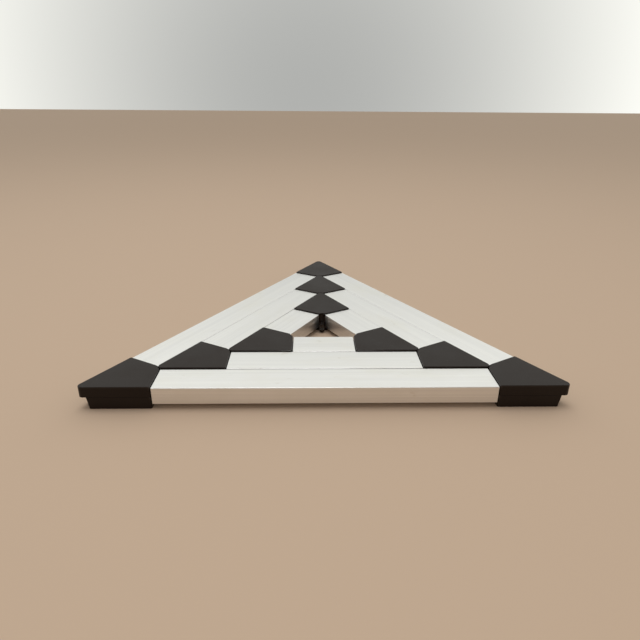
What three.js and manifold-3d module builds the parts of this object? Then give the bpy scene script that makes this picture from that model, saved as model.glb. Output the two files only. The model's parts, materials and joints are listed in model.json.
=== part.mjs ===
// Magnetic desk sculpture: three nested triangular rings of flat aluminium tube with black moulded corners.
// Each corner has a cap over a base, which close on a V-shaped joiner that plugs into the two bars' ends.
// A round nose at a corner's inner vertex reaches under the lip of the next smaller ring's tip, which sits
// in a notch of the corner's cap, and a magnet in each holds the two rings together.
//
// Millimetres, +Z up, the front side along X. The origin is the middle of the footprint, on the table.

import * as THREE from 'three';
import { mergeVertices } from 'three/addons/utils/BufferGeometryUtils.js';
import Module from 'manifold-3d';

const wasm = await Module();
wasm.setup();

// ---- driving dimensions --------------------------------------------------------------------------------

const SIDE_LENGTH = 204; // side of the outer ring, between its sharp corners
const BAR_WIDTH = 16;
const BAR_HEIGHT = 7.5;
const BAR_WALL = 1.2;
const BAR_CLEARANCE = 2.1; // between the bars and the table
const RING_GAP = 0.27; // between one ring's bars and the next ring's, if they share a centre
const MIDDLE_RING_SLIP = [0, 0.28]; // from the outer ring's centre
const INNER_RING_SLIP = [0.1, 0.5];
const CORNER_REACH = 30.95; // along the outer edge, from the sharp tip to the bar's end
const CORNER_HEIGHT = 10.2;
const JOINT_GAP = 0.3; // hairline between a bar's end and its corner

// ---- corner dimensions ---------------------------------------------------------------------------------

const SEAM_HEIGHT = 5.4; // where the cap meets the base
const SEAM_GAP = 0.1;
const TIP_RADIUS = 2; // the cap's rounded tip
const SHOULDER_RADIUS = 0.6; // beside each bar's end
const INNER_RADIUS = 5.6; // round the inner vertex
const TIP_CUT_TOP = 4.1; // along the bisector, from the sharp tip to the base at the seam
const TIP_CUT_BOTTOM = 4.85; // the same at the table
const TIP_CUT_DEPTH = 20; // of the block that cuts the tip away
const NOTCH_CLEARANCE = 0.4; // round the next smaller ring's tip, in the cap that receives it
const NOTCH_DEPTH = 15; // of the wedge that cuts it
const NOSE_RADIUS = 1.35;
const NOSE_FOOT_RADIUS = 1.65; // of the ball at the nose's lower end
const NOSE_REACH = 6.2; // past the point where the bars' inner faces would meet
const NOSE_LIP_GAP = 0.3; // between the nose and the lip above it
const SEAT_CLEARANCE = 0.55; // round a nose, in the base whose tip it reaches under

// ---- inner pieces --------------------------------------------------------------------------------------

const FIT = 0.3; // clearance between the joiner and what it fits into
const MAGNET_FIT = 0.1;
const JOINER_START = 12; // along the outer edge, from the sharp tip to the start of an arm
const JOINER_PLUG = 12; // length of an arm inside the bar
const NOSE_MAGNET_RADIUS = 1;
const NOSE_MAGNET_LENGTH = 4;
const LIP_MAGNET_RADIUS = 2;
const LIP_MAGNET_THICKNESS = 2;
const LIP_MAGNET_PLACE = 6.8; // along the bisector, from the sharp tip
const MAGNET_TOP_GAP = 0.1;

// ---- detail --------------------------------------------------------------------------------------------

const ARC_STEPS = 4; // segments in each rounded vertex of an outline
const NOSE_FOOT_STEPS = 6; // rings of facets round the nose's ball
const ROUND_STEPS = 16; // segments round a full circle
const OVERCUT = 1; // how far a cutting solid runs past what it cuts
const WELD = 1e-4; // vertices this close are one

// ---- worked out from the above -------------------------------------------------------------------------

const HALF_TIP = Math.PI / 6; // half of the triangle's corner angle
const RING_PITCH = BAR_WIDTH + RING_GAP;
const OUTER_INRADIUS = SIDE_LENGTH * Math.tan(HALF_TIP) / 2;
const BAR_END = CORNER_REACH + JOINT_GAP / 2;
const CORNER_END = CORNER_REACH - JOINT_GAP / 2;
const CAP_BOTTOM = SEAM_HEIGHT + SEAM_GAP / 2;
const BASE_TOP = SEAM_HEIGHT - SEAM_GAP / 2;
const BORE_BOTTOM = BAR_CLEARANCE + BAR_WALL;
const BORE_TOP = BAR_CLEARANCE + BAR_HEIGHT - BAR_WALL;
const JOINER_BOTTOM = BORE_BOTTOM + FIT;
const JOINER_TOP = BORE_TOP - FIT;
const JOINER_WIDTH = BAR_WIDTH - 2 * BAR_WALL - 2 * FIT;
const INNER_MEETING = BAR_WIDTH / Math.sin(HALF_TIP); // where the bars' inner faces would meet
const NOSE_HEIGHT = SEAM_HEIGHT - NOSE_LIP_GAP;
const NOSE_PLACE = INNER_MEETING + NOSE_REACH - NOSE_FOOT_RADIUS;
const TIP_PITCH = RING_PITCH / Math.sin(HALF_TIP); // from one ring's sharp tip to the next ring's
const SEAT_PLACE = NOSE_PLACE - TIP_PITCH; // of the next larger ring's nose
const NOSE_MAGNET_BOTTOM = NOSE_HEIGHT - MAGNET_TOP_GAP - NOSE_MAGNET_LENGTH;
const LIP_MAGNET_BOTTOM = CAP_BOTTOM + MAGNET_TOP_GAP;
const CENTRE_Y = (TIP_RADIUS - OUTER_INRADIUS) / 2; // the triangles' centre, seen from the footprint's middle

// ---- materials -----------------------------------------------------------------------------------------

function aluminium() {
  return new THREE.MeshStandardMaterial({ color: 0xdcddd8, roughness: 0.35, metalness: 1 });
}

function blackPlastic() {
  return new THREE.MeshStandardMaterial({ color: 0x1b1a19, roughness: 0.45, metalness: 0 });
}

function greyPlastic() {
  return new THREE.MeshStandardMaterial({ color: 0x4a4b4d, roughness: 0.6, metalness: 0 });
}

function nickel() {
  return new THREE.MeshStandardMaterial({ color: 0xb9b7b0, roughness: 0.2, metalness: 1 });
}

// ---- solids --------------------------------------------------------------------------------------------

// A closed geometry as a solid that can be joined and cut.
function solid(geometry) {
  const bare = geometry.clone();
  bare.deleteAttribute('normal');
  bare.deleteAttribute('uv');
  const merged = mergeVertices(bare, WELD);
  return new wasm.Manifold(new wasm.Mesh({
    numProp: 3,
    vertProperties: new Float32Array(merged.attributes.position.array),
    triVerts: new Uint32Array(merged.index.array),
  }));
}

function geometryOf(body) {
  const { vertProperties, triVerts } = body.getMesh();
  const geometry = new THREE.BufferGeometry();
  geometry.setAttribute('position', new THREE.BufferAttribute(vertProperties, 3));
  geometry.setIndex(new THREE.BufferAttribute(triVerts, 1));
  return geometry;
}

// A block between two corners.
function block(low, high) {
  const size = high.map((value, axis) => value - low[axis]);
  const middle = high.map((value, axis) => (value + low[axis]) / 2);
  return new THREE.BoxGeometry(...size).translate(...middle);
}

// An upright cylinder that stands at x on the bisector.
function post(radius, bottom, top, x) {
  return new THREE.CylinderGeometry(radius, radius, top - bottom, ROUND_STEPS)
    .rotateX(Math.PI / 2)
    .translate(x, 0, (bottom + top) / 2);
}

// A prism on an outline in the XY plane.
function prism(shape, bottom, top) {
  return new THREE.ExtrudeGeometry(shape, { depth: top - bottom, bevelEnabled: false })
    .translate(0, 0, bottom);
}

// A closed outline through the given vertices, each rounded to its own radius.
function roundedOutline(vertices) {
  const points = [];
  vertices.forEach(({ at, radius }, index) => {
    const before = vertices.at(index - 1).at;
    const after = vertices[(index + 1) % vertices.length].at;
    const back = before.clone().sub(at).normalize();
    const forward = after.clone().sub(at).normalize();
    const half = Math.acos(back.dot(forward)) / 2;
    const bisector = back.clone().add(forward).normalize();
    const centre = at.clone().addScaledVector(bisector, radius / Math.sin(half));
    const start = at.clone().addScaledVector(back, radius / Math.tan(half));
    const turn = Math.PI - 2 * half;
    for (let step = 0; step <= ARC_STEPS; step += 1) {
      points.push(start.clone().rotateAround(centre, turn * step / ARC_STEPS));
    }
  });
  return new THREE.Shape(points);
}

// ---- one corner, with its sharp tip at the origin and its bisector along +X ----------------------------

// The kite that the corner covers: the tip, a shoulder at each bar's end, and the inner vertex.
function kite() {
  const shoulder = new THREE.Vector2(Math.cos(HALF_TIP), Math.sin(HALF_TIP)).multiplyScalar(CORNER_END);
  return roundedOutline([
    { at: new THREE.Vector2(0, 0), radius: TIP_RADIUS },
    { at: new THREE.Vector2(shoulder.x, -shoulder.y), radius: SHOULDER_RADIUS },
    { at: new THREE.Vector2(CORNER_END / Math.cos(HALF_TIP), 0), radius: INNER_RADIUS },
    { at: shoulder, radius: SHOULDER_RADIUS },
  ]);
}

// Both arms of the V that runs through the corner into the bars, widened by some clearance.
function doubleArm(clearance, end) {
  const middle = BAR_WIDTH / 2;
  const reach = JOINER_WIDTH / 2 + clearance;
  const low = [JOINER_START - clearance, middle - reach, JOINER_BOTTOM - clearance];
  const high = [end, middle + reach, JOINER_TOP + clearance];
  const arm = solid(block(low, high).rotateZ(-HALF_TIP));
  const mirrored = solid(block([low[0], -high[1], low[2]], [high[0], -low[1], high[2]]).rotateZ(HALF_TIP));
  return arm.add(mirrored);
}

// The wedge, with a round point, that the next smaller ring's tip takes out of the cap.
function notchGeometry() {
  const point = new THREE.Vector2(TIP_PITCH - NOTCH_CLEARANCE / Math.sin(HALF_TIP), 0);
  const flank = new THREE.Vector2(Math.cos(HALF_TIP), Math.sin(HALF_TIP)).multiplyScalar(NOTCH_DEPTH);
  const outline = roundedOutline([
    { at: point, radius: TIP_RADIUS + NOTCH_CLEARANCE },
    { at: new THREE.Vector2(point.x + flank.x, -flank.y), radius: SHOULDER_RADIUS },
    { at: new THREE.Vector2(point.x + flank.x, flank.y), radius: SHOULDER_RADIUS },
  ]);
  return prism(outline, 0, CORNER_HEIGHT + OVERCUT);
}

function capGeometry() {
  const shell = solid(prism(kite(), CAP_BOTTOM, CORNER_HEIGHT)).subtract(solid(notchGeometry()));
  const cavity = doubleArm(JOINT_GAP, CORNER_REACH + OVERCUT);
  const pocket = solid(post(
    LIP_MAGNET_RADIUS + MAGNET_FIT,
    CAP_BOTTOM - OVERCUT,
    LIP_MAGNET_BOTTOM + LIP_MAGNET_THICKNESS + MAGNET_FIT,
    LIP_MAGNET_PLACE,
  ));
  return geometryOf(shell.subtract(cavity).subtract(pocket));
}

// The round nose: an upright pin on a ball.
function noseGeometry() {
  const neckAngle = Math.asin(NOSE_RADIUS / NOSE_FOOT_RADIUS);
  const profile = [];
  for (let step = 0; step <= NOSE_FOOT_STEPS; step += 1) {
    const angle = (Math.PI - neckAngle) * step / NOSE_FOOT_STEPS;
    profile.push(new THREE.Vector2(
      NOSE_FOOT_RADIUS * Math.sin(angle),
      NOSE_FOOT_RADIUS * (1 - Math.cos(angle)),
    ));
  }
  profile.push(new THREE.Vector2(NOSE_RADIUS, NOSE_HEIGHT), new THREE.Vector2(0, NOSE_HEIGHT));
  return new THREE.LatheGeometry(profile, ROUND_STEPS).rotateX(Math.PI / 2).translate(NOSE_PLACE, 0, 0);
}

// The wedge between the bars that carries the nose.
function neckGeometry() {
  const distance = NOSE_PLACE - INNER_MEETING;
  const halfAngle = Math.asin(NOSE_RADIUS / distance);
  const start = new THREE.Vector2(0, 0);
  const tangent = new THREE.Vector2(distance * Math.cos(halfAngle), 0);
  const wedge = [-halfAngle, halfAngle].map((angle) => tangent.clone().rotateAround(start, angle));
  return prism(new THREE.Shape([start, ...wedge]), 0, NOSE_HEIGHT).translate(INNER_MEETING, 0, 0);
}

// What the base lacks at the tip: everything in front of a face that leans back towards the table.
function tipCutGeometry() {
  const lean = Math.atan2(TIP_CUT_BOTTOM - TIP_CUT_TOP, SEAM_HEIGHT);
  return block(
    [-TIP_CUT_DEPTH, -BAR_WIDTH, -BAR_WIDTH],
    [0, BAR_WIDTH, BAR_WIDTH],
  ).rotateY(-lean).translate(TIP_CUT_TOP, 0, SEAM_HEIGHT);
}

function baseGeometry() {
  const shell = solid(prism(kite(), 0, BASE_TOP)).subtract(solid(tipCutGeometry()));
  const cavity = doubleArm(JOINT_GAP, CORNER_REACH + OVERCUT);
  const pocket = solid(post(
    NOSE_MAGNET_RADIUS + MAGNET_FIT,
    NOSE_MAGNET_BOTTOM - MAGNET_FIT,
    CORNER_HEIGHT,
    NOSE_PLACE,
  ));
  const seat = solid(post(NOSE_FOOT_RADIUS + SEAT_CLEARANCE, -OVERCUT, SEAM_HEIGHT + OVERCUT, SEAT_PLACE));
  const nose = solid(noseGeometry()).add(solid(neckGeometry()));
  return geometryOf(shell.subtract(cavity).subtract(seat).add(nose).subtract(pocket));
}

function joinerGeometry() {
  return geometryOf(doubleArm(0, CORNER_REACH + JOINER_PLUG));
}

function noseMagnetGeometry() {
  return post(NOSE_MAGNET_RADIUS, NOSE_MAGNET_BOTTOM, NOSE_MAGNET_BOTTOM + NOSE_MAGNET_LENGTH, NOSE_PLACE);
}

function lipMagnetGeometry() {
  const top = LIP_MAGNET_BOTTOM + LIP_MAGNET_THICKNESS;
  return post(LIP_MAGNET_RADIUS, LIP_MAGNET_BOTTOM, top, LIP_MAGNET_PLACE);
}

// ---- one bar, along X and centred on it ----------------------------------------------------------------

function rectangle(width, height) {
  const corners = [[-1, -1], [1, -1], [1, 1], [-1, 1]];
  return corners.map(([x, y]) => new THREE.Vector2(x * width / 2, y * height / 2));
}

function barGeometry(length) {
  const section = new THREE.Shape(rectangle(BAR_WIDTH, BAR_HEIGHT));
  section.holes.push(new THREE.Path(rectangle(BAR_WIDTH - 2 * BAR_WALL, BAR_HEIGHT - 2 * BAR_WALL)));
  return new THREE.ExtrudeGeometry(section, { depth: length, bevelEnabled: false })
    .translate(0, 0, -length / 2)
    .rotateX(Math.PI / 2)
    .rotateZ(Math.PI / 2);
}

// ---- the rings -----------------------------------------------------------------------------------------

const CORNER_PIECES = {
  cap: { geometry: capGeometry(), material: blackPlastic },
  base: { geometry: baseGeometry(), material: blackPlastic },
  joiner: { geometry: joinerGeometry(), material: greyPlastic },
  nose_magnet: { geometry: noseMagnetGeometry(), material: nickel },
  lip_magnet: { geometry: lipMagnetGeometry(), material: nickel },
};

// The three sides of a ring, each with the corner at its clockwise end.
const SIDES = [
  { side: 'front', corner: 'left' },
  { side: 'right', corner: 'right' },
  { side: 'left', corner: 'back' },
];

function namedMesh(name, geometry, material) {
  const mesh = new THREE.Mesh(geometry, material);
  mesh.name = name;
  return mesh;
}

function cornerGroup(name, inradius) {
  const corner = new THREE.Group();
  for (const [piece, { geometry, material }] of Object.entries(CORNER_PIECES)) {
    corner.add(namedMesh(`${name}_${piece}`, geometry, material()));
  }
  corner.position.set(-inradius / Math.tan(HALF_TIP), -inradius, 0);
  corner.rotation.z = HALF_TIP;
  return corner;
}

function bar(name, inradius) {
  const length = 2 * (inradius / Math.tan(HALF_TIP) - BAR_END);
  const mesh = namedMesh(name, barGeometry(length), aluminium());
  mesh.position.set(0, BAR_WIDTH / 2 - inradius, BAR_CLEARANCE + BAR_HEIGHT / 2);
  return mesh;
}

function ringGroup(ring, inradius) {
  const group = new THREE.Group();
  SIDES.forEach(({ side, corner }, index) => {
    const third = new THREE.Group();
    third.add(bar(`${ring}_${side}_bar`, inradius));
    third.add(cornerGroup(`${ring}_${corner}`, inradius));
    third.rotation.z = index * 2 * Math.PI / 3;
    group.add(third);
  });
  return group;
}

// The rings from the outside in, and where each sits in its slack.
const RINGS = [
  { ring: 'outer', slip: [0, 0] },
  { ring: 'middle', slip: MIDDLE_RING_SLIP },
  { ring: 'inner', slip: INNER_RING_SLIP },
];

const sculpture = new THREE.Group();
RINGS.forEach(({ ring, slip }, index) => {
  const group = ringGroup(ring, OUTER_INRADIUS - index * RING_PITCH);
  group.position.set(...slip, 0);
  sculpture.add(group);
});
sculpture.position.y = CENTRE_Y;

export default sculpture;
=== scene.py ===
"""The looks of the magnetic desk sculpture: three nested triangular rings of satin aluminium tube with
black moulded corners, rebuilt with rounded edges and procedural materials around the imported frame."""

import json
import math

import bmesh
import bpy
from mathutils import Matrix, Vector

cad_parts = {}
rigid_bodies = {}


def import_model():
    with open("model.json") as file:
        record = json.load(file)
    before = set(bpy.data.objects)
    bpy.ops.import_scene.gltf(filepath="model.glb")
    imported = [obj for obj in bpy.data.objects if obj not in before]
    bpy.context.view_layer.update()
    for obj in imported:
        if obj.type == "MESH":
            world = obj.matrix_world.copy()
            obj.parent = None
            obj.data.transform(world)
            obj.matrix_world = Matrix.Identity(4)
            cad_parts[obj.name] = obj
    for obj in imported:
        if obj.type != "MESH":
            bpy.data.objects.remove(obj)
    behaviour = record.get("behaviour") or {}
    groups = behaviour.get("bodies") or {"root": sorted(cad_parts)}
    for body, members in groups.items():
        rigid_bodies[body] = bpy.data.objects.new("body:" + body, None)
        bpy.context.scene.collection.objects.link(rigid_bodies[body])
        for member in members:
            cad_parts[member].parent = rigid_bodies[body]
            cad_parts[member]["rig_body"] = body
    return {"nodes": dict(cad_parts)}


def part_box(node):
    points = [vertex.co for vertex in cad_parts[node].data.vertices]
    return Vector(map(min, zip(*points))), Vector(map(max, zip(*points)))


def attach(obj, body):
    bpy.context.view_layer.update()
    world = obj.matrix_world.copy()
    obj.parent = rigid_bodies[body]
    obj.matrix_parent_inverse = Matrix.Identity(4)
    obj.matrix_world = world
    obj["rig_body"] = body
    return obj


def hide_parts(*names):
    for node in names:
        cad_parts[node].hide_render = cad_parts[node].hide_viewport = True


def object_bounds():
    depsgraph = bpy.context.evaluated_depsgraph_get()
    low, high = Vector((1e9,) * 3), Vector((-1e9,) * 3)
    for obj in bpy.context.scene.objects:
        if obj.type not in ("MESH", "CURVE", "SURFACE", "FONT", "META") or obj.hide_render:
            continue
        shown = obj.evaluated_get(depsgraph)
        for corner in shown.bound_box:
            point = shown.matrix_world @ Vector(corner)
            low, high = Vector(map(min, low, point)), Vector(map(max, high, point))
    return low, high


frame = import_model()
CAD_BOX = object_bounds()

MM = 0.001
RINGS = ("outer", "middle", "inner")
SIDES = ("front", "right", "left")
CORNERS = ("left", "right", "back")
THIRD = math.radians(120)
HALF_TIP = math.radians(30)

# Sizes that the frame's boxes don't give.
TIP_RADIUS = 2 * MM  # the cap's rounded tip
SHOULDER_RADIUS = 0.6 * MM  # beside each bar's end
INNER_RADIUS = 5.6 * MM  # round the corner's inner vertex
JOINT_GAP = 0.3 * MM  # between a bar's end and its corner
TIP_CUT_TOP = 4.1 * MM  # along the bisector, from the sharp tip to the base at the seam
TIP_CUT_BOTTOM = 4.85 * MM  # the same at the table
TIP_CUT_RADIUS = 0.5 * MM
NOTCH_CLEARANCE = 0.4 * MM  # round the next smaller ring's tip, in the cap that receives it
NOTCH_DEPTH = 15 * MM
NOSE_REACH = 6.2 * MM  # past the point where the bars' inner faces would meet
NOSE_RADIUS = 1.35 * MM
NOSE_FOOT_RADIUS = 1.65 * MM  # of the ball at the nose's lower end
NOSE_FOOT_FLAT = 0.15 * MM  # radius of the spot that the ball rests on
NOSE_TOP_DROP = 0.25 * MM  # below the top of the base
NECK_ROOT_DEPTH = 1 * MM  # how far the nose's neck starts inside the corner
NECK_ROOT_HALF_WIDTH = 0.1 * MM
SEAT_CLEARANCE = 0.55 * MM  # round a nose, in the base whose tip it reaches under
MAGNET_FIT = 0.1 * MM
LIP_MAGNET_PLACE = 6.8 * MM  # along the bisector, from the sharp tip
BAR_WALL = 1.2 * MM
JOINER_START = 12 * MM  # along the outer edge, from the sharp tip
OVERCUT = 1 * MM  # how far a cutting solid runs past what it cuts

# Roundings of edges.
CAP_TOP_EDGE = 0.35 * MM
FINE_EDGE = 0.1 * MM
SEAM_EDGE = 0.04 * MM
BASE_FOOT_EDGE = 0.25 * MM
BAR_EDGE = 0.3 * MM

ARC_STEPS = 12  # segments in each rounded vertex of an outline
EDGE_STEPS = 5  # segments in each rounded edge
BALL_STEPS = 10  # rings of faces round the nose's ball
SHARP_ANGLE = math.radians(32)  # faces that meet at more than this aren't shaded as one


# ---- places, read from the frame -------------------------------------------------------------------


def ring_centre(ring):
    """The middle of a ring on the table, where the middles of its three bars average out."""
    middles = [sum(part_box(f"{ring}_{side}_bar"), Vector()) / 2 for side in SIDES]
    centre = sum(middles, Vector()) / len(middles)
    return Vector((centre.x, centre.y, 0))


def inradius(ring):
    """From a ring's middle to its outer edge."""
    return ring_centre(ring).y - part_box(f"{ring}_front_bar")[0].y


def third_matrix(ring, index):
    """Turns what is built in the ring's front third about the ring's middle."""
    return Matrix.Translation(ring_centre(ring)) @ Matrix.Rotation(index * THIRD, 4, "Z")


def corner_matrix(ring, index):
    """Places a corner whose sharp tip is at the origin and whose bisector runs along +X."""
    reach = inradius(ring)
    tip = Matrix.Translation((-reach / math.tan(HALF_TIP), -reach, 0))
    return third_matrix(ring, index) @ tip @ Matrix.Rotation(HALF_TIP, 4, "Z")


BAR_LOW, BAR_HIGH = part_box("outer_front_bar")
BAR_WIDTH = BAR_HIGH.y - BAR_LOW.y
CORNER_END = inradius("outer") / math.tan(HALF_TIP) - BAR_HIGH.x - JOINT_GAP
CAP_BOTTOM, CAP_TOP = (corner.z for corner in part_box("outer_left_cap"))
BASE_BOTTOM, BASE_TOP = (corner.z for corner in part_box("outer_left_base"))
TIP_PITCH = (inradius("outer") - inradius("middle")) / math.sin(HALF_TIP)
NOSE_PLACE = BAR_WIDTH / math.sin(HALF_TIP) + NOSE_REACH - NOSE_FOOT_RADIUS


# ---- outlines and lofts ----------------------------------------------------------------------------


def rounded_outline(vertices, inset=0.0):
    """Points anticlockwise round a convex outline of (x, y, radius) vertices, moved in by inset."""
    points = []
    count = len(vertices)
    for index, (x, y, radius) in enumerate(vertices):
        at = Vector((x, y))
        back = (Vector(vertices[index - 1][:2]) - at).normalized()
        forward = (Vector(vertices[(index + 1) % count][:2]) - at).normalized()
        half = back.angle(forward) / 2
        centre = at + (back + forward).normalized() * radius / math.sin(half)
        start = math.atan2(back.x, -back.y)
        for step in range(ARC_STEPS + 1):
            angle = start + (math.pi - 2 * half) * step / ARC_STEPS
            points.append(centre + Vector((math.cos(angle), math.sin(angle))) * (radius - inset))
    return points


def disc_outline(radius, x):
    """Points round a circle whose centre is at x on the bisector."""
    steps = 4 * ARC_STEPS
    angles = [2 * math.pi * step / steps for step in range(steps)]
    return [Vector((x + radius * math.cos(a), radius * math.sin(a))) for a in angles]


def levels(low, high, low_edge, high_edge):
    """(height, inset) pairs up a wall whose lower and upper edges are rounded."""
    quarter = [math.pi / 2 * step / EDGE_STEPS for step in range(EDGE_STEPS + 1)]
    shares = [(1 - math.cos(angle), 1 - math.sin(angle)) for angle in quarter]
    foot = [(low + low_edge * rise, low_edge * inset) for rise, inset in shares]
    rim = [(high - high_edge * drop, high_edge * inset) for drop, inset in reversed(shares)]
    return foot + rim


def loft(loops, joined=False):
    """A mesh through loops of equal length; its ends are closed, or joined to each other."""
    mesh = bpy.data.meshes.new("loft")
    build = bmesh.new()
    rows = [[build.verts.new(point) for point in loop] for loop in loops]
    count = len(rows[0])
    pairs = list(zip(rows, rows[1:] + rows[:1])) if joined else list(zip(rows, rows[1:]))
    for low, high in pairs:
        for i in range(count):
            j = (i + 1) % count
            build.faces.new((low[i], low[j], high[j], high[i]))
    if not joined:
        build.faces.new(reversed(rows[0]))
        build.faces.new(rows[-1])
    build.to_mesh(mesh)
    build.free()
    return mesh


def wall(outline_at, low, high, low_edge, high_edge):
    """An upright solid whose outline at a height and inset is outline_at(height, inset)."""
    loops = []
    for height, inset in levels(low, high, low_edge, high_edge):
        loops.append([Vector((p.x, p.y, height)) for p in outline_at(height, inset)])
    return loft(loops)


def post(radius, low, high, x, edge=0.0):
    """An upright cylinder that stands at x on the bisector."""
    return wall(lambda height, inset: disc_outline(radius - inset, x), low, high, edge, edge)


def block(low, high):
    """A sharp box, as a cutter."""
    corners = [(low[0], low[1]), (high[0], low[1]), (high[0], high[1]), (low[0], high[1])]
    return loft([[Vector((x, y, z)) for x, y in corners] for z in (low[2], high[2])])


def combined(mesh, others, operation):
    """The mesh after a boolean with each of the others in turn."""
    scene = bpy.context.scene.collection
    piece = bpy.data.objects.new("combined", mesh)
    scene.objects.link(piece)
    helpers = []
    for other in others:
        helper = bpy.data.objects.new("helper", other)
        scene.objects.link(helper)
        helpers.append(helper)
        modifier = piece.modifiers.new("boolean", "BOOLEAN")
        modifier.operation = operation
        modifier.solver = "EXACT"
        modifier.object = helper
    graph = bpy.context.evaluated_depsgraph_get()
    result = bpy.data.meshes.new_from_object(piece.evaluated_get(graph))
    for helper in [piece, *helpers]:
        bpy.data.objects.remove(helper)
    return result


# ---- the corner's pieces, with the sharp tip at the origin -----------------------------------------


def kite_vertices():
    """The tip, a shoulder at each bar's end, and the inner vertex."""
    x, y = CORNER_END * math.cos(HALF_TIP), CORNER_END * math.sin(HALF_TIP)
    inner = CORNER_END / math.cos(HALF_TIP)
    return [
        (0, 0, TIP_RADIUS),
        (x, -y, SHOULDER_RADIUS),
        (inner, 0, INNER_RADIUS),
        (x, y, SHOULDER_RADIUS),
    ]


def base_vertices(height):
    """The kite with its tip cut off, further back towards the table."""
    rise = (height - BASE_BOTTOM) / (BASE_TOP - BASE_BOTTOM)
    cut = TIP_CUT_BOTTOM + (TIP_CUT_TOP - TIP_CUT_BOTTOM) * rise
    half_width = cut * math.tan(HALF_TIP)
    return [(cut, half_width, TIP_CUT_RADIUS), (cut, -half_width, TIP_CUT_RADIUS), *kite_vertices()[1:]]


def arm_cutters():
    """The channels that the joiner's two arms run through."""
    joiner_low, joiner_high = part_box("outer_left_joiner")
    reach = BAR_WIDTH / 2 - BAR_WALL - MAGNET_FIT
    low = (JOINER_START - JOINT_GAP, BAR_WIDTH / 2 - reach, joiner_low.z - JOINT_GAP)
    high = (CORNER_END + OVERCUT, BAR_WIDTH / 2 + reach, joiner_high.z + JOINT_GAP)
    arm = block(low, high)
    arm.transform(Matrix.Rotation(-HALF_TIP, 4, "Z"))
    mirrored = block((low[0], -high[1], low[2]), (high[0], -low[1], high[2]))
    mirrored.transform(Matrix.Rotation(HALF_TIP, 4, "Z"))
    return [arm, mirrored]


def magnet_pocket(node, x, low, high):
    """A round pocket for a magnet, a little wider than the node."""
    magnet_low, magnet_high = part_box(node)
    return post((magnet_high.y - magnet_low.y) / 2 + MAGNET_FIT, low, high, x)


def notch_cutter():
    """The wedge, with a round point, that the next smaller ring's tip takes out of the cap."""
    point = TIP_PITCH - NOTCH_CLEARANCE / math.sin(HALF_TIP)
    x, y = point + NOTCH_DEPTH * math.cos(HALF_TIP), NOTCH_DEPTH * math.sin(HALF_TIP)
    tip = (point, 0, TIP_RADIUS + NOTCH_CLEARANCE)
    outline = rounded_outline([tip, (x, -y, SHOULDER_RADIUS), (x, y, SHOULDER_RADIUS)])
    return loft([[Vector((p.x, p.y, z)) for p in outline] for z in (BASE_BOTTOM, CAP_TOP + OVERCUT)])


def cap_mesh():
    shell = wall(
        lambda height, inset: rounded_outline(kite_vertices(), inset),
        CAP_BOTTOM, CAP_TOP, SEAM_EDGE, CAP_TOP_EDGE,
    )
    pocket_low = CAP_BOTTOM - OVERCUT
    pocket_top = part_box("outer_left_lip_magnet")[1].z + MAGNET_FIT
    pocket = magnet_pocket("outer_left_lip_magnet", LIP_MAGNET_PLACE, pocket_low, pocket_top)
    return combined(shell, [*arm_cutters(), notch_cutter(), pocket], "DIFFERENCE")


def nose_mesh(top):
    """An upright pin on a ball."""
    first = math.asin(NOSE_FOOT_FLAT / NOSE_FOOT_RADIUS)
    last = math.pi - math.asin(NOSE_RADIUS / NOSE_FOOT_RADIUS)
    profile = []
    for step in range(BALL_STEPS + 1):
        angle = first + (last - first) * step / BALL_STEPS
        height = NOSE_FOOT_RADIUS * (math.cos(first) - math.cos(angle))
        profile.append((NOSE_FOOT_RADIUS * math.sin(angle), BASE_BOTTOM + height))
    profile += [(NOSE_RADIUS, top - FINE_EDGE), (NOSE_RADIUS - FINE_EDGE, top)]
    loops = []
    for radius, height in profile:
        loops.append([Vector((p.x, p.y, height)) for p in disc_outline(radius, NOSE_PLACE)])
    return loft(loops)


def neck_mesh(nose_top):
    """The wedge that joins the nose to the corner, between the two bars."""
    start = BAR_WIDTH / math.sin(HALF_TIP)
    distance = NOSE_PLACE - start
    slope = math.asin(NOSE_RADIUS / distance)
    side = distance * math.cos(slope)
    x, y = start + side * math.cos(slope), side * math.sin(slope)
    root = start - NECK_ROOT_DEPTH
    corners = [(root, NECK_ROOT_HALF_WIDTH), (root, -NECK_ROOT_HALF_WIDTH), (x, -y), (x, y)]
    low = BASE_BOTTOM + BASE_FOOT_EDGE
    return loft([[Vector((*corner, z)) for corner in corners] for z in (low, nose_top)])


def seat_cutter():
    """The round seat for the next larger ring's nose."""
    radius = NOSE_FOOT_RADIUS + SEAT_CLEARANCE
    return post(radius, BASE_BOTTOM - OVERCUT, BASE_TOP + OVERCUT, NOSE_PLACE - TIP_PITCH)


def base_mesh():
    shell = wall(
        lambda height, inset: rounded_outline(base_vertices(height), inset),
        BASE_BOTTOM, BASE_TOP, BASE_FOOT_EDGE, SEAM_EDGE,
    )
    nose_top = BASE_TOP - NOSE_TOP_DROP
    pocket_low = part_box("outer_left_nose_magnet")[0].z - MAGNET_FIT
    pocket = magnet_pocket("outer_left_nose_magnet", NOSE_PLACE, pocket_low, CAP_TOP)
    hollow = combined(shell, [*arm_cutters(), seat_cutter()], "DIFFERENCE")
    whole = combined(hollow, [neck_mesh(nose_top), nose_mesh(nose_top)], "UNION")
    return combined(whole, [pocket], "DIFFERENCE")


def magnet_mesh(node, x):
    """A round magnet as wide and as high as the node."""
    low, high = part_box(node)
    return post((high.y - low.y) / 2, low.z, high.z, x, FINE_EDGE)


# ---- a bar, along X and centred on it --------------------------------------------------------------


def section(width, height, radius, inset):
    """A rounded rectangle, moved in by inset."""
    x, y = width / 2, height / 2
    corners = [(-x, -y, radius), (x, -y, radius), (x, y, radius), (-x, y, radius)]
    return rounded_outline(corners, inset)


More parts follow.
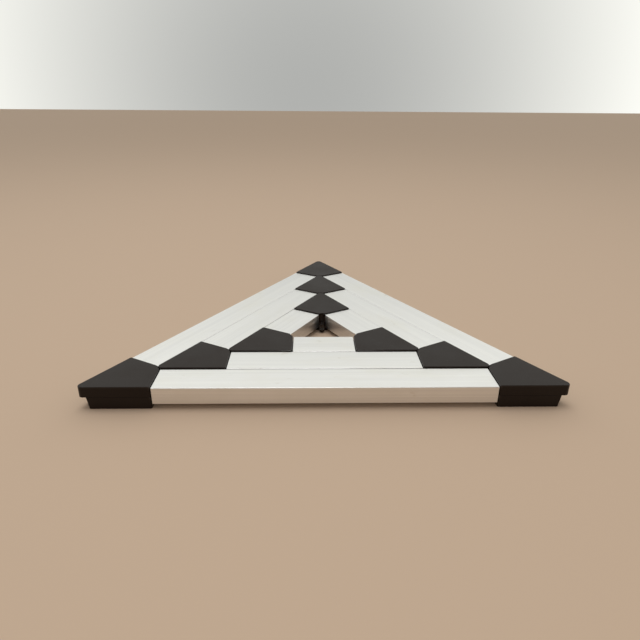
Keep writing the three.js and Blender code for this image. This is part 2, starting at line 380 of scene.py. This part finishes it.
def bar_mesh(length):
    """A hollow tube with rounded long edges and lightly broken ends."""
    height = BAR_HIGH.z - BAR_LOW.z
    half = length / 2
    bore = (BAR_WIDTH - 2 * BAR_WALL, height - 2 * BAR_WALL, BAR_EDGE, 0.0)
    outside = (BAR_WIDTH, height, BAR_EDGE)
    stations = [
        (-half, (*outside, FINE_EDGE)),
        (FINE_EDGE - half, (*outside, 0.0)),
        (half - FINE_EDGE, (*outside, 0.0)),
        (half, (*outside, FINE_EDGE)),
        (half, bore),
        (-half, bore),
    ]
    loops = [[Vector((x, p.x, p.y)) for p in section(*shape)] for x, shape in stations]
    return loft(loops, joined=True)


# ---- materials -------------------------------------------------------------------------------------


class Nodes:
    """A material's node tree, with short calls for the nodes used here."""

    def __init__(self, name):
        self.material = bpy.data.materials.new(name)
        self.material.use_nodes = True
        self.tree = self.material.node_tree
        self.shader = self.tree.nodes["Principled BSDF"]

    def node(self, kind, **settings):
        made = self.tree.nodes.new(kind)
        for key, value in settings.items():
            setattr(made, key, value)
        return made

    def put(self, socket, value):
        """Sets a socket to a number or colour, or links it to an output."""
        if isinstance(value, bpy.types.NodeSocket):
            self.tree.links.new(value, socket)
        else:
            socket.default_value = value

    def set(self, **values):
        """Sets the shader's inputs; an underscore stands for a space."""
        for key, value in values.items():
            self.put(self.shader.inputs[key.replace("_", " ")], value)

    def coordinates(self, turn=0.0, stretch=(1, 1, 1)):
        """The piece's own coordinates, turned about Z and scaled."""
        turned = self.node("ShaderNodeMapping")
        turned.inputs["Rotation"].default_value = (0, 0, turn)
        self.put(turned.inputs["Vector"], self.node("ShaderNodeTexCoord").outputs["Object"])
        scaled = self.node("ShaderNodeMapping")
        scaled.inputs["Scale"].default_value = stretch
        self.put(scaled.inputs["Vector"], turned.outputs["Vector"])
        return scaled.outputs["Vector"]

    def noise(self, vector, scale, detail=3, roughness=0.5):
        made = self.node("ShaderNodeTexNoise")
        self.put(made.inputs["Vector"], vector)
        for key, value in (("Scale", scale), ("Detail", detail), ("Roughness", roughness)):
            made.inputs[key].default_value = value
        return made.outputs["Fac"]

    def spread(self, value, low, high, to_low=0.0, to_high=1.0):
        """Maps low..high to to_low..to_high, clamped."""
        made = self.node("ShaderNodeMapRange")
        ends = {"From Min": low, "From Max": high, "To Min": to_low, "To Max": to_high}
        for key, number in ends.items():
            made.inputs[key].default_value = number
        self.put(made.inputs["Value"], value)
        return made.outputs["Result"]

    def maths(self, operation, first, second):
        made = self.node("ShaderNodeMath", operation=operation)
        self.put(made.inputs[0], first)
        self.put(made.inputs[1], second)
        return made.outputs["Value"]

    def blend(self, factor, first, second):
        """A colour between two colours."""
        made = self.node("ShaderNodeMix", data_type="RGBA")
        self.put(made.inputs["Factor"], factor)
        self.put(made.inputs["A"], first)
        self.put(made.inputs["B"], second)
        return made.outputs["Result"]

    def bump(self, height, distance, strength=1.0, normal=None):
        made = self.node("ShaderNodeBump")
        made.inputs["Distance"].default_value = distance
        made.inputs["Strength"].default_value = strength
        self.put(made.inputs["Height"], height)
        if normal is not None:
            self.put(made.inputs["Normal"], normal)
        return made.outputs["Normal"]


def grey(value, tint=(1, 1, 1)):
    """A colour of the given lightness, with a slight tint."""
    return (*(value * channel for channel in tint), 1)


def bar_aluminium(turn):
    """Satin extruded aluminium, its fine lines along a bar that is turned by the given angle."""
    nodes = Nodes("bar_aluminium")
    fine = nodes.noise(nodes.coordinates(-turn, (9, 2600, 2600)), 1.0, 4, 0.65)
    broad = nodes.noise(nodes.coordinates(-turn, (3, 380, 380)), 1.0, 3, 0.5)
    cloud = nodes.noise(nodes.coordinates(-turn, (1, 2, 2)), 38, 4, 0.55)
    stain = nodes.noise(nodes.coordinates(-turn, (1, 1.6, 1.6)), 95, 5, 0.6)
    lines = nodes.maths("ADD", nodes.maths("MULTIPLY", fine, 0.6), nodes.maths("MULTIPLY", broad, 0.4))
    metal = nodes.blend(nodes.spread(lines, 0.35, 0.65), grey(0.80), grey(0.90, (1, 1, 0.985)))
    warmed = nodes.blend(nodes.spread(cloud, 0.5, 0.72, 0, 0.35), metal, grey(0.80, (1, 0.985, 0.9)))
    marked = nodes.blend(nodes.spread(stain, 0.66, 0.76, 0, 0.3), warmed, grey(0.5, (1, 0.9, 0.75)))
    satin = nodes.spread(lines, 0.3, 0.7, 0.30, 0.40)
    handled = nodes.maths("ADD", satin, nodes.spread(cloud, 0.4, 0.7, 0, 0.08))
    relief = nodes.bump(broad, 0.02 * MM, 0.5, nodes.bump(fine, 0.006 * MM, 0.6))
    nodes.set(Base_Color=marked, Metallic=1.0, Roughness=handled, Normal=relief)
    return nodes.material


def upward(nodes):
    """How far a face looks up: 1 on level tops, 0 on walls, -1 on undersides."""
    parts = nodes.node("ShaderNodeSeparateXYZ")
    nodes.put(parts.inputs["Vector"], nodes.node("ShaderNodeNewGeometry").outputs["Normal"])
    return parts.outputs["Z"]


PLASTIC_DARK = (0.013, 0.0075, 0.005, 1)
PLASTIC_LIGHT = (0.017, 0.0105, 0.0075, 1)


def corner_plastic():
    """Black moulded plastic: satin on top, smoother walls, and round edges and noses rubbed shiny."""
    nodes = Nodes("corner_plastic")
    place = nodes.coordinates()
    grain = nodes.noise(place, 4200, 3, 0.6)
    soft_grain = nodes.noise(place, 1500, 2, 0.5)
    patches = nodes.noise(place, 70, 4, 0.55)
    dust = nodes.noise(place, 2600, 1, 0.4)
    slope = upward(nodes)
    top = nodes.spread(slope, 0.6, 0.95)
    shiny = nodes.maths("MULTIPLY", nodes.spread(slope, 0.03, 0.12), nodes.spread(slope, 0.75, 0.6))
    plastic = nodes.blend(nodes.spread(patches, 0.35, 0.7), PLASTIC_DARK, PLASTIC_LIGHT)
    specks = nodes.maths("MULTIPLY", nodes.spread(dust, 0.74, 0.8, 0, 0.25), top)
    dusty = nodes.blend(specks, plastic, grey(0.35, (1, 0.98, 0.95)))
    worn = nodes.spread(patches, 0.3, 0.7, -0.05, 0.05)
    satin = nodes.maths("ADD", nodes.spread(top, 0, 1, 0.2, 0.44), worn)
    rubbed = nodes.maths("SUBTRACT", satin, nodes.spread(shiny, 0, 1, 0, 0.08))
    gloss = nodes.spread(shiny, 0, 1, 0.19, 0.8)
    grains = nodes.maths("ADD", grain, soft_grain)
    depth = nodes.maths("MULTIPLY", grains, nodes.spread(top, 0, 1, 0.25, 1))
    relief = nodes.bump(depth, 0.012 * MM, 0.5)
    nodes.set(Base_Color=dusty, Roughness=rubbed, Specular_IOR_Level=gloss, Normal=relief)
    return nodes.material


def joiner_plastic():
    """Plain dark grey moulding."""
    nodes = Nodes("joiner_plastic")
    place = nodes.coordinates()
    flow = nodes.noise(place, 120, 3, 0.5)
    grain = nodes.noise(place, 2500, 2, 0.5)
    colour = nodes.blend(flow, grey(0.055), grey(0.08))
    rough = nodes.spread(flow, 0.3, 0.7, 0.45, 0.6)
    nodes.set(Base_Color=colour, Roughness=rough, Normal=nodes.bump(grain, 0.01 * MM))
    return nodes.material


def magnet_nickel():
    """Bright nickel plating with faint rubbing marks."""
    nodes = Nodes("magnet_nickel")
    place = nodes.coordinates()
    rub = nodes.noise(nodes.coordinates(0, (1, 6, 1)), 900, 4, 0.6)
    haze = nodes.noise(place, 500, 3, 0.5)
    colour = nodes.blend(haze, grey(0.66, (1, 0.97, 0.91)), grey(0.78, (1, 0.98, 0.94)))
    rough = nodes.spread(rub, 0.35, 0.7, 0.12, 0.28)
    nodes.set(Base_Color=colour, Metallic=1.0, Roughness=rough, Normal=nodes.bump(rub, 0.002 * MM, 0.5))
    return nodes.material


# ---- building the rings ----------------------------------------------------------------------------


def finish_mesh(mesh):
    """Smooth shading that stops at sharp edges."""
    build = bmesh.new()
    build.from_mesh(mesh)
    for face in build.faces:
        face.smooth = True
    for edge in build.edges:
        edge.smooth = edge.is_manifold and edge.calc_face_angle() < SHARP_ANGLE
    build.to_mesh(mesh)
    build.free()


def add_piece(name, node, mesh, matrix, material):
    """Puts a copy of the mesh where the CAD node is, to stand for it."""
    placed = mesh.copy()
    placed.name = name
    placed.transform(matrix)
    placed.materials.clear()
    placed.materials.append(material)
    piece = bpy.data.objects.new(name, placed)
    bpy.context.scene.collection.objects.link(piece)
    even = piece.modifiers.new("even normals", "WEIGHTED_NORMAL")
    even.keep_sharp = True
    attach(piece, frame["nodes"][node]["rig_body"])
    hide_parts(node)
    return piece


def build_bars():
    middle_height = (BAR_LOW.z + BAR_HIGH.z) / 2
    metals = [bar_aluminium(index * THIRD) for index in range(len(SIDES))]
    for ring in RINGS:
        low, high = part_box(f"{ring}_front_bar")
        mesh = bar_mesh(high.x - low.x)
        finish_mesh(mesh)
        lift = Matrix.Translation((0, BAR_WIDTH / 2 - inradius(ring), middle_height))
        for index, side in enumerate(SIDES):
            node = f"{ring}_{side}_bar"
            matrix = third_matrix(ring, index) @ lift
            add_piece(f"{node}_tube", node, mesh, matrix, metals[index])


def build_corners():
    black, bright = corner_plastic(), magnet_nickel()
    nose_magnet = magnet_mesh("outer_left_nose_magnet", NOSE_PLACE)
    lip_magnet = magnet_mesh("outer_left_lip_magnet", LIP_MAGNET_PLACE)
    kinds = {
        "cap": ("shell", cap_mesh(), black, "corner_plastic"),
        "base": ("shell", base_mesh(), black, "corner_plastic"),
        "nose_magnet": ("rod", nose_magnet, bright, "magnet_nickel"),
        "lip_magnet": ("disc", lip_magnet, bright, "magnet_nickel"),
    }
    for kind, (noun, mesh, material, slot) in kinds.items():
        finish_mesh(mesh)
        for ring in RINGS:
            for index, corner in enumerate(CORNERS):
                node = f"{ring}_{corner}_{kind}"
                add_piece(f"{node}_{noun}", node, mesh, corner_matrix(ring, index), material)


def dress_joiners():
    """The joiners stay as the frame has them, inside the corners."""
    grey_plastic = joiner_plastic()
    for name, node in frame["nodes"].items():
        if name.endswith("_joiner"):
            node.data.materials.clear()
            node.data.materials.append(grey_plastic)


# ---- stage, light and camera -----------------------------------------------------------------------

FLOOR_HALF = 4.0
FLOOR_COLOUR = (0.62, 0.465, 0.34, 1)
FLOOR_ROUGHNESS = 0.85

# The sky's colours, from straight in front of the object (0) to straight behind it (1).
SKY_ENDS = ((0.13, 0.095, 0.07, 1), (0.44, 0.445, 0.43, 1))
SKY_STOPS = {0.5: (0.52, 0.51, 0.49, 1), 0.93: (0.99, 0.99, 0.93, 1)}

# Each light's place and size in metres, and its power in watts.
LIGHTS = {
    "overhead": ((-0.1, 0.05, 0.9), 0.5, 2.0),
    "lamp": ((0.05, -1.2, 0.75), 0.3, 2.0),
}

CAMERA_TARGET_OFFSET = Vector((-0.57 * MM, 5.05 * MM, 0))
CAMERA_DISTANCE = 303.4 * MM
CAMERA_AZIMUTH = math.radians(-1.34)
CAMERA_ELEVATION = math.radians(23.11)
CAMERA_ROLL = math.radians(0.44)
CAMERA_LENS = 29.79


def add_floor():
    nodes = Nodes("stage_floor")
    nodes.set(Base_Color=FLOOR_COLOUR, Roughness=FLOOR_ROUGHNESS)
    corners = [(-1, -1), (1, -1), (1, 1), (-1, 1)]
    mesh = bpy.data.meshes.new("stage_floor")
    height = CAD_BOX[0].z
    mesh.from_pydata([(x * FLOOR_HALF, y * FLOOR_HALF, height) for x, y in corners], [], [(0, 1, 2, 3)])
    mesh.materials.append(nodes.material)
    floor = bpy.data.objects.new("stage_floor", mesh)
    bpy.context.scene.collection.objects.link(floor)


def add_sky():
    """Soft light from all round: dim in front, brightest behind the object and some way up."""
    world = bpy.data.worlds.new("studio")
    bpy.context.scene.world = world
    world.use_nodes = True
    tree = world.node_tree
    direction = tree.nodes.new("ShaderNodeTexCoord").outputs["Generated"]
    parts = tree.nodes.new("ShaderNodeSeparateXYZ")
    tree.links.new(direction, parts.inputs["Vector"])
    ramp = tree.nodes.new("ShaderNodeValToRGB")
    backness = tree.nodes.new("ShaderNodeMapRange")
    backness.inputs["From Min"].default_value = -1
    backness.inputs["From Max"].default_value = 1
    tree.links.new(parts.outputs["Y"], backness.inputs["Value"])
    tree.links.new(backness.outputs["Result"], ramp.inputs["Fac"])
    stops = ramp.color_ramp.elements
    for stop, colour in zip(stops, SKY_ENDS):
        stop.color = colour
    for position, colour in SKY_STOPS.items():
        stops.new(position).color = colour
    tree.links.new(ramp.outputs["Color"], tree.nodes["Background"].inputs["Color"])


def add_light(name, place, size, power):
    """A square light that faces the middle of the object."""
    light = bpy.data.lights.new(name, "AREA")
    light.size = size
    light.energy = power
    lamp = bpy.data.objects.new(name, light)
    lamp.location = place
    lamp.rotation_euler = (-Vector(place)).to_track_quat("-Z", "Y").to_euler()
    bpy.context.scene.collection.objects.link(lamp)


def add_camera():
    low, high = CAD_BOX
    target = Vector(((low.x + high.x) / 2, (low.y + high.y) / 2, low.z)) + CAMERA_TARGET_OFFSET
    azimuth, elevation = CAMERA_AZIMUTH, CAMERA_ELEVATION
    back = Vector((
        math.sin(azimuth) * math.cos(elevation),
        -math.cos(azimuth) * math.cos(elevation),
        math.sin(elevation),
    ))
    data = bpy.data.cameras.new("camera")
    data.lens = CAMERA_LENS
    data.clip_start = 1 * MM
    camera = bpy.data.objects.new("camera", data)
    camera.location = target + back * CAMERA_DISTANCE
    look = (-back).to_track_quat("-Z", "Y").to_matrix()
    camera.rotation_euler = (look @ Matrix.Rotation(CAMERA_ROLL, 3, "Z")).to_euler()
    bpy.context.scene.collection.objects.link(camera)
    bpy.context.scene.camera = camera


build_bars()
build_corners()
dress_joiners()
add_floor()
add_sky()
for light_name, (light_place, light_size, light_power) in LIGHTS.items():
    add_light(light_name, light_place, light_size, light_power)
add_camera()
bpy.context.scene.view_settings.view_transform = "Standard"
